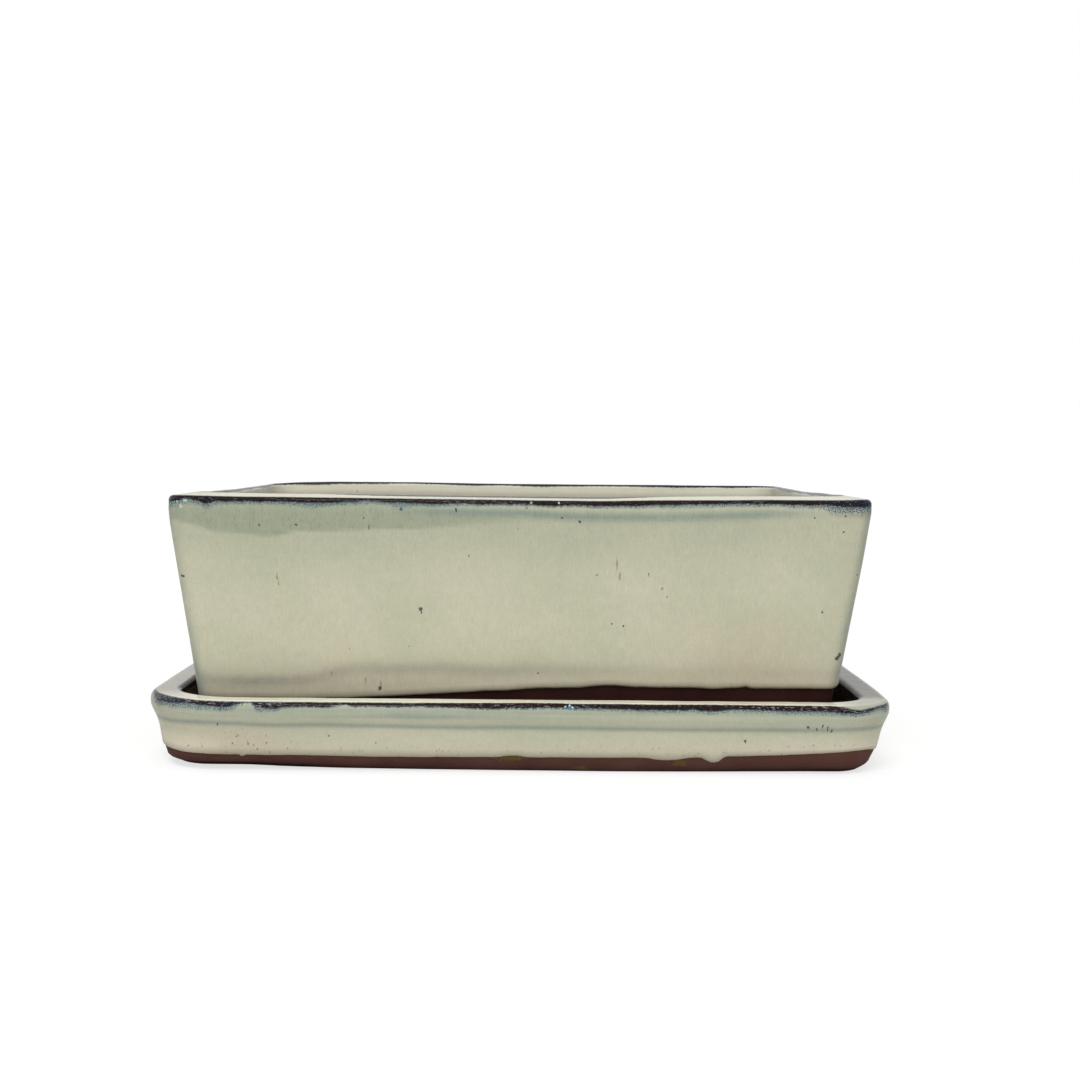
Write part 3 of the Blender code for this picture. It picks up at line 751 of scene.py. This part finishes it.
TRAY_HALF = (134.0 * MM - COAT, 110.5 * MM - COAT)
TRAY_TOP = 26.3 * MM - COAT
TRAY_BOWS = (2.7 * MM, 3.2 * MM)      # how far the left and right ends bow out
TRAY_CORNER = 17.0 * MM - COAT
TRAY_CORNER_UNLIKE = (15.0 * MM, 5.0 * MM)   # the front left and front right corners are softer by these
TRAY_CORNER_LOW = 0.3                 # the share of that which is left at the base
TRAY_INNER_CORNER = 9.0 * MM + COAT
TRAY_RIM = 8.6 * MM
TRAY_RIM_ROUND = 1.7 * MM
TRAY_RIM_INNER_ROUND = 0.9 * MM
TRAY_BAND_BOTTOM = 21.6 * MM          # the band ends here, and the wall below tapers to the base
TRAY_WALL = ((0.7, 19.8), (1.5, 18.0), (2.15, 16.4), (2.55, 14.9), (2.74, 13.2), (2.9, 11.4), (3.23, 9.8),
             (3.8, 8.2), (4.55, 6.6), (5.45, 5.1), (6.55, 3.7), (7.95, 2.4), (9.85, 1.0), (11.45, 0.0))
TRAY_THINNED = 0.75 * MM              # the coat loses this much of its thickness towards the foot
# How far the foot's front edge lies back, as {x: value} in mm
TRAY_FOOT_FRONT = {-128: 6.2, -97: 6.2, -90: 5.2, -84: 3.8, -75: 2.7, -60: 1.2, -31: 0.2, -2: -0.4,
                   34: -0.95, 55: -0.4, 70: 0.25, 85: 1.1, 104: 2.0, 130: 2.6}
TRAY_SPREAD = 2.0 * MM                # how much longer the base is, half at each end
TRAY_BASE_TIGHTER = 0.75              # the plan radius falls by this share of the wall's inset
TRAY_FLOOR = 6.0 * MM
TRAY_FILLET = 6.0 * MM
TRAY_INNER_LEAN = 1.2 * MM
TRAY_STAINS = ((-1.6, -104.5, 6.2, 5.2, 1.9), (23.0, -101.5, 1.3, 2.8, 1.3), (58.0, -102.5, 4.0, 3.2, 1.5),
               (124.0, -91.0, 8.0, 2.5, 3.0))    # (x, y, z, across, up) in mm


def tray_clay_profile():
    """Up the outside from the base, over the rim and down the inside to the floor."""
    inner_foot = TRAY_RIM + TRAY_INNER_LEAN
    spots = [(inset * MM, height * MM, TRAY_CORNER - TRAY_BASE_TIGHTER * inset * MM)
             for inset, height in reversed(TRAY_WALL)]
    spots.append((0.0, TRAY_BAND_BOTTOM, TRAY_CORNER))
    spots += arc((TRAY_RIM_ROUND, TRAY_TOP - TRAY_RIM_ROUND), (TRAY_RIM_ROUND, TRAY_RIM_ROUND),
                 180, 90, TRAY_CORNER, 8)
    spots += arc((TRAY_RIM - TRAY_RIM_INNER_ROUND, TRAY_TOP - TRAY_RIM_INNER_ROUND),
                 (TRAY_RIM_INNER_ROUND, TRAY_RIM_INNER_ROUND), 90, 0, TRAY_INNER_CORNER, 8)
    spots += arc((inner_foot + TRAY_FILLET, TRAY_FLOOR + TRAY_FILLET), (TRAY_FILLET, TRAY_FILLET),
                 180, 270, TRAY_INNER_CORNER, 10)
    return spots


def tray_corner_of(share_x, share_y, height):
    """What the plan radius gains towards the tray's unlike front corners, less so lower down."""
    front = max(0.0, -share_y) * (TRAY_CORNER_LOW + (1 - TRAY_CORNER_LOW) * ease(height, 0, 14 * MM))
    left, right = TRAY_CORNER_UNLIKE
    return front * (left * max(0.0, -share_x) + right * max(0.0, share_x))


def settle_tray(point):
    """The short sides bow out, the foot spreads a little at them, and its front edge wanders."""
    bow = TRAY_BOWS[0 if point.x < 0 else 1] * (1 - (point.y / TRAY_HALF[1]) ** 6)
    low = 1 - ease(point.z, 0, 6 * MM)
    spread = 1 + (bow + TRAY_SPREAD * low) / TRAY_HALF[0]
    front = ease(-point.y / TRAY_HALF[1], 0.5, 0.85)
    back = read_off(TRAY_FOOT_FRONT, point.x / MM) * MM * front * (1 - ease(point.z, 0, 4 * MM))
    return Vector((point.x * spread, point.y + back, point.z))


def tray_clay():
    mesh = rounded_outline(TRAY_HALF, TRAY_CORNER, 16, 4 * MM)
    first_loop = list(mesh.edges)
    rows = resampled(tray_clay_profile(), 1.5 * MM, 1)
    close_ends(mesh, first_loop, loft(mesh, TRAY_HALF, rows, plain_spot, tray_corner_of))
    for vert in mesh.verts:
        vert.co = settle_tray(vert.co)
    clay = bare_stoneware("bare iron-red stoneware of the tray", "#55362f", "#63423b", TRAY_STAINS)
    return object_from(mesh, "tray_clay", clay)


tray_body = tray_clay()
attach(tray_body, "tray")
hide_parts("tray_body")

# The tray's glaze
# The same glaze, poured over the whole inside, the rim and the wall down to the bare foot.

TRAY_GLAZE_LINE = 6.2 * MM
TRAY_LINE_INSET = 4.8 * MM            # the wall's inset at that height
TRAY_BREAK_UP = 0.7 * MM              # along the clay, from the middle of the arris to the break's
TRAY_RUNS = (                         # (x, width, drop) along the front's lower edge, in mm
    (69.9, 6.2, 2.7), (53.6, 11.8, 1.2), (-97.4, 1.4, 0.9), (-1.6, 8.5, -0.8),
)


def tray_line(plan, out, share):
    """The height of the glaze's lower edge round the tray: it lifts towards the corners."""
    softer = tray_corner_of(share.x, share.y, TRAY_GLAZE_LINE) - TRAY_BASE_TIGHTER * TRAY_LINE_INSET
    x = (plan.x + (out.x - share.x) * softer - share.x * TRAY_LINE_INSET) / MM
    front = max(0.0, -out.y) ** 2
    corner = abs(plan.x * plan.y) / (TRAY_HALF[0] * TRAY_HALF[1])
    level = 6.4 + (2.4 if plan.x > 0 else 1.2) * corner ** 4 + 0.35 * wander(plan, 40 * MM, 7)
    if x < 0:
        lift = (x / 125) ** 4 + 0.45 * ease(-x, 48, 75) - 0.4 * ease(-x, 112, 120)
    else:
        lift = 3.2 * (x / 125) ** 4 + 0.35 * ease(x, 60, 78) + 0.5 * ease(x, 117, 127)
    face = 6.05 + 0.006 * x + lift - runs_at(TRAY_RUNS, x, 3)
    ripple = 0.12 * wander(plan, 10 * MM, 5) + 0.1 * wander(plan, 3 * MM, 6)
    return (level + (face - level) * front + ripple) * MM


# Along the front: how deep the break is, how far it lies below the arris, its fringe and its blue
TRAY_THIN = {-134: 3.2, -124: 3.2, -121: 2.4, -118.5: 1.8, -117: 2.0, -112: 2.4, -103: 2.6, -100: 1.9,
             -97.5: 0.7, -94: 0.7, -92.5: 2.2, -88: 3.1, -85: 3.4, -83: 2.5, -66: 2.3, -64: 2.0, -60.5: 1.4,
             -57: 2.0, -26: 2.0, -8: 2.5, 0: 2.2, 14: 1.9, 24: 2.1, 35: 2.3, 52: 2.5, 62: 2.2, 69: 2.9,
             76: 2.1, 88: 2.2, 95: 2.6, 110: 2.5, 117: 3.2, 120.6: 3.8, 125: 3.8, 134: 3.2}
TRAY_LIFT = {-134: -0.3, -100: -0.4, -40: -0.3, -20: 0.0, -4: 0.4, 3: 0.6, 14: 0.6, 20: 0.2, 48: 0.0,
             62: 0.3, 85: 0.25, 95: 0.1, 112: 0.0, 115.5: -0.7, 119: -2.0, 122: -2.6, 126: -2.0, 134: -0.8}
TRAY_FRINGE = {-134: 3.4, -122: 3.2, -119: 2.6, -117: 2.2, -100: 2.4, -97: 0.5, -94: 0.5, -92: 2.8,
               -86: 1.5, -80: 0.6, -20: 0.6, 16: 0.9, 30: 1.2, 60: 1.5, 100: 1.5, 110: 1.8, 120: 1.5,
               134: 2.0}
TRAY_NAVY = {-134: 0.7, -122: 0.6, -117: 0.3, -110: 0.3, -100: 0.5, -93: 0.5, -88: 0.3, -83: 0.05, 0: 0.0,
             16: 0.15, 60: 0.05, 76: 0.15, 100: 0.25, 113: 0.3, 120: 0.55, 134: 0.5}


def on_tray_front(x, z, across, up):
    """A mark on the tray's front: its place and half its width and height, in mm."""
    inset = read_off({height: inset for inset, height in reversed(TRAY_WALL)}, z) if z < 19.8 else 0.0
    return x, inset - (TRAY_HALF[1] + COAT) / MM, z, across, up


TRAY_MARKS = [(tint, [on_tray_front(*mark) for mark in marks]) for tint, marks in (
    ("#5c4a3c", (
        (-118.3, 13.5, 0.6, 0.5), (-112.8, 9.9, 0.4, 0.3), (-112.3, 12.1, 0.4, 0.35), (-99.5, 13.3, 0.3, 0.3),
        (-50.1, 11.2, 0.35, 0.4), (-66.8, 13.6, 0.35, 0.3), (-115.8, 18.1, 0.25, 0.5))),
    ("#2f3440", (
        (81.2, 13.1, 0.5, 0.8), (103.2, 18.6, 0.5, 0.6), (106.4, 17.6, 0.3, 0.7), (108.4, 19.0, 0.25, 0.9),
        (110.3, 18.0, 0.3, 1.0), (111.6, 17.2, 0.3, 0.5), (5.2, 25.4, 0.4, 0.4), (-3.6, 24.3, 0.3, 0.5),
        (-97.2, 25.0, 0.25, 0.5), (-106.3, 17.8, 0.25, 0.6))),
    ("#2b2426", ((-77.9, 25.6, 0.45, 0.3), (-66.2, 25.6, 0.5, 0.3))),
    ("#4a7a94", ((18.6, 24.6, 1.3, 0.5),)),
    # Pale spots over the blue: painted glints
    ("#c4d0da", ((18.6, 25.5, 0.6, 0.4), (17.0, 25.2, 0.5, 0.3), (19.6, 25.0, 0.4, 0.3))),
)]


def tray_tones(point, out, run, corner):
    """How strong each tone of the tray's glaze is at a point, and how its break lies there."""
    x, y, z = point
    front = max(0.0, -out.y) ** 2
    bare = 1 - front
    swirl = [wander(point, size, seed) for size, seed in ((45, 21), (20, 22), (10, 23), (30, 24))]
    top = ease(run, -0.8, 0.6)
    outside = 1 - top
    within = ease(run, 9.0, 11.0)
    green = 0.06 * ease(z, 15.4, 17.6) + 0.48 * ease(z, 21.5, 23.0) + 0.06 * ease(z, 10.5, 13.5)
    groove = 17.3 + 0.6 * front * ease(-x, 20, 60) + 0.5 * swirl[1]
    second = 0.26 + 0.25 * swirl[0] + 0.5 * bell(x, -32, 28) * front
    blue = max(0.6 * bell(z, groove, 0.9), second * bell(z, 21.5 + 0.6 * swirl[3], 1.1),
               0.13 * ease(z, 16.6, 18.0) + 0.08 * ease(z, 21.5, 23.0))
    right = ease(x, 72, 100) * (1 - ease(z, 13, 17))
    warm = 0.4 * (1 - ease(z, 9, 14)) + 0.3 * right
    warm += 0.42 * front * ease(-x, 70, 95) * (1 - ease(z, 14, 19))
    # Paler low on the wall and over the rim top: partly painted light on faces turned up
    pale = 0.06 + (0.18 * (1 - ease(z, 9, 14)) + 0.12 * right) * outside + 0.84 * top * (1 - within)
    # The rim's ends are greyed and darkened as painted shade and painted reflection
    ends = ease(abs(x), 108, 124) * (1 - 0.6 * ease(-y, 84, 98)) * top * (1 - within)
    # The olive over the whole inside is painted shade
    olive = (0.85 + 0.3 * ease(x, -120, -60)) * within + (0.15 + 0.45 * ease(x, -60, 60)) * ends
    thin = front * read_off(TRAY_THIN, x) + bare * (1.5 + 1.6 * swirl[2] + 0.6 * bell(corner, 0, 8))
    lift = front * read_off(TRAY_LIFT, x) - 1.6 * bare * ease(x, 112, 128) * ease(-y, 60, 90)
    fringe = front * read_off(TRAY_FRINGE, x) + bare * (1.2 + 2.5 * max(0.0, swirl[2]))
    navy = front * read_off(TRAY_NAVY, x) + bare * (0.35 + 0.7 * swirl[3] + 0.4 * bell(corner, 0, 8))
    return dict(green=green * outside, blue=blue * outside, warm=warm * outside, pale=pale,
                dull=ends * (0.62 if x < 0 else 0.95), olive=olive, thin=max(thin, 0.1),
                lift=lift, fringe=max(fringe, 0.4), navy=navy,
                # The dark line on the inner arris widens towards the ends as painted shade
                inner=0.1 + 1.9 * ease(abs(x), 100, 122))


def tray_glaze():
    path = Path(tray_clay_profile(), 0.25 * MM)
    start = path.along(TRAY_GLAZE_LINE)
    end = path.marks[-1]
    outer_arris = path.along(TRAY_TOP - TRAY_RIM_ROUND) + math.pi / 4 * TRAY_RIM_ROUND + TRAY_BREAK_UP
    inner_arris = path.along(TRAY_TOP - TRAY_RIM_INNER_ROUND, inside=True)
    inner_arris -= math.pi / 4 * TRAY_RIM_INNER_ROUND
    rows = rolled_rows(start, 1)
    rows += [(along, COAT) for along in rows_between(start + ROLL + 0.3 * MM, end, (outer_arris, inner_arris),
                                                     0.3 * MM, 0.8 * MM)]
    hidden = rows_between(start, end, (outer_arris, inner_arris), 0.6 * MM, 2.5 * MM)
    rows = rows[::-1] + [(along, BACK) for along in hidden]
    mesh = rounded_outline(TRAY_HALF, TRAY_CORNER, 24, 1.6 * MM)
    spot_of = coat_spot_of(mesh, path, TRAY_GLAZE_LINE, tray_line, outer_arris, reach=6 * MM,
                           swells=(20 * MM, 6 * MM), bead=0.2 * MM, thinned=TRAY_THINNED)
    first_loop = list(mesh.edges)
    close_ends(mesh, first_loop, loft(mesh, TRAY_HALF, rows, spot_of, tray_corner_of))
    paint(mesh, settle_tray, tray_tones)
    rim_run = (path.face(inner_arris) - path.face(outer_arris)) / MM
    glaze = breaking_glaze("cream glaze of the tray", TRAY_MARKS, inner_run=rim_run + 0.6, dark_top=0.1,
                           ticked=0.1, edge_shade=0.45, speckled=1.0, gloss_streaked=0.6)
    return object_from(mesh, "tray_glaze_coat", glaze)


tray_coat = tray_glaze()
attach(tray_coat, "tray")
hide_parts("tray_glaze")

# The studio
# A plain white floor, soft lamps above and in front, and a white surround. What the glaze mirrors of
# the surround is dimmer low down behind the piece.

FLOOR_HALF = 4.0
FLOOR_GLOW = 0.66                     # share of the floor's white that no shadow can take away
DIM_BAND = 0.22                       # the sine of the dim band's elevation
DIM_SHARE = 0.3                       # the share of its light that it lacks


def studio_floor():
    """Matt white board, seen as pure white away from the soft shadow on it."""
    material, add = new_material("matt white studio floor")
    seen = add("LightPath", output="Is Camera Ray")
    share = add("Math MULTIPLY", (seen, FLOOR_GLOW))
    board = add("Mix RGBA", {0: seen, 6: "#cfcfcd", 7: "#ffffff"}, 2)
    matt = add("BsdfDiffuse", {"Color": board})
    glow = add("Emission", {"Color": "#ffffff", "Strength": 1.05})
    mix = add("MixShader", (share, matt, glow))
    add("OutputMaterial", {"Surface": mix})
    mesh = bmesh.new()
    bmesh.ops.create_grid(mesh, x_segments=1, y_segments=1, size=FLOOR_HALF)
    return object_from(mesh, "studio_floor", material)


studio_floor()


def soft_light(name, towards, spread, level, mirrored=False):
    """A distant soft light shining along a direction, its disc this many degrees wide. Only the
    window is mirrored by the glaze."""
    data = bpy.data.lights.new(name, "SUN")
    data.angle = math.radians(spread)
    data.energy = level
    lamp = bpy.data.objects.new(name, data)
    lamp.rotation_euler = Vector(towards).to_track_quat("-Z", "Y").to_euler()
    lamp.visible_glossy = mirrored
    bpy.context.scene.collection.objects.link(lamp)


soft_light("overhead_softbox", (0.15, 0.8, -1.0), 35, 1.6)
soft_light("front_softbox", (-0.3, 1.0, -0.3), 50, 0.5)
soft_light("window", (0.12, 0.55, -1.0), 5, 0.18, mirrored=True)

world = bpy.data.worlds.new("white surround")
bpy.context.scene.world = world
world.use_nodes = True
world.node_tree.nodes.clear()
add = functools.partial(add_node, world.node_tree)
seen = add("LightPath", output="Is Camera Ray")
rays = seen.node.outputs
for ray in ("Is Glossy Ray", "Is Transmission Ray"):
    seen = add("Math MAXIMUM", (seen, rays[ray]))
bright = add("MapRange", (seen, 0, 1, 0.5, 1))
way = add("SeparateXYZ", {"Vector": add("TexCoord", output="Generated")}).node.outputs
behind = add("MapRange", (way["Y"], 0.5, 0.8))
behind = add("Math MULTIPLY", (behind, rays["Is Glossy Ray"]))
off = add("Math SUBTRACT", (way["Z"], DIM_BAND))
off = add("Math ABSOLUTE", (off,))
dimmed = add("MapRange", (off, 0.1, 0.3, -DIM_SHARE, 0.0))
bright = add("Math MULTIPLY_ADD", (dimmed, behind, bright))
sky = add("Background", {"Color": "#ffffff", "Strength": bright})
add("OutputWorld", {"Surface": sky})

bpy.context.scene.view_settings.view_transform = "Standard"

# The camera
# At the photograph's place: two thirds of a metre in front, a little above the rim, level but for
# half a degree.

CAMERA_PLACE = (5.3 * MM, -667.3 * MM, 118.0 * MM)
CAMERA_PITCH = 0.0605
CAMERA_YAW = 0.004
CAMERA_ROLL = 0.0093
lens = bpy.data.cameras.new("camera")
lens.sensor_width = 36
lens.lens = 52.97
lens.clip_end = 20
camera = bpy.data.objects.new("camera", lens)
camera.matrix_world = (Matrix.Translation(CAMERA_PLACE) @ Matrix.Rotation(-CAMERA_YAW, 4, "Z")
                       @ Matrix.Rotation(math.pi / 2 - CAMERA_PITCH, 4, "X")
                       @ Matrix.Rotation(CAMERA_ROLL, 4, "Z"))
bpy.context.scene.collection.objects.link(camera)
bpy.context.scene.camera = camera
